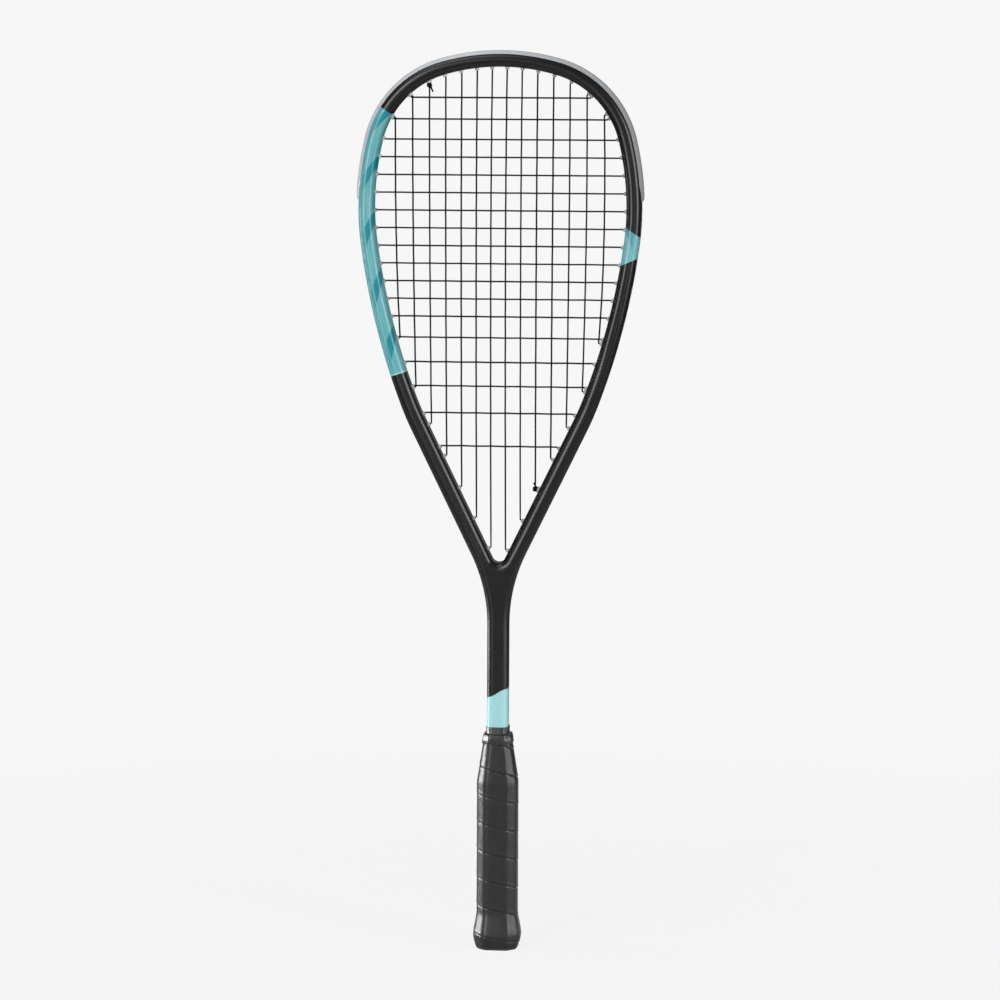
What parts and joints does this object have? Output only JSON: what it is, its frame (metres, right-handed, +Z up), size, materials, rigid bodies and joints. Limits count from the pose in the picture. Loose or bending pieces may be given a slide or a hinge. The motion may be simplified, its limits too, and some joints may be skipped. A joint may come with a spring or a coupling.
{
  "type": "squash racket",
  "caption": "Squash racket with a teardrop hoop, open throat, woven string bed, bumper guard, grommet strips, tapered shaft and wrapped octagonal handle.",
  "frame": {"origin": "middle of the butt cap's flat end", "axes": "+Z up the shaft from the butt to the head, X across the head, Y square to the strings; the side seen in the picture faces -Y"},
  "size_m": [0.2178, 0.032, 0.6865],
  "materials": {
    "frame_lacquer": "semi-gloss black lacquer over graphite, with teal and pale aqua colour zones",
    "guard_nylon": "translucent clear-grey nylon, satin",
    "strip_nylon": "translucent clear-grey nylon, satin",
    "string_gut": "black synthetic gut, slight gloss",
    "pallet_foam": "rigid polyurethane foam, matte",
    "cap_plastic": "moulded black nylon, matte",
    "staple_wire": "galvanised wire",
    "grip_wrap": "charcoal polyurethane wrap, matte",
    "tape_film": "glossy black vinyl tape"
  },
  "bodies": {
    "root": {"frame": "frame_lacquer", "bumper_guard": "guard_nylon", "grommet_strip_left": "strip_nylon", "grommet_strip_right": "strip_nylon", "string": "string_gut", "handle_pallet": "pallet_foam", "butt_cap": "cap_plastic", "butt_cap_staples": "staple_wire", "grip": "grip_wrap", "finishing_tape": "tape_film"}
  },
  "joints": []
}
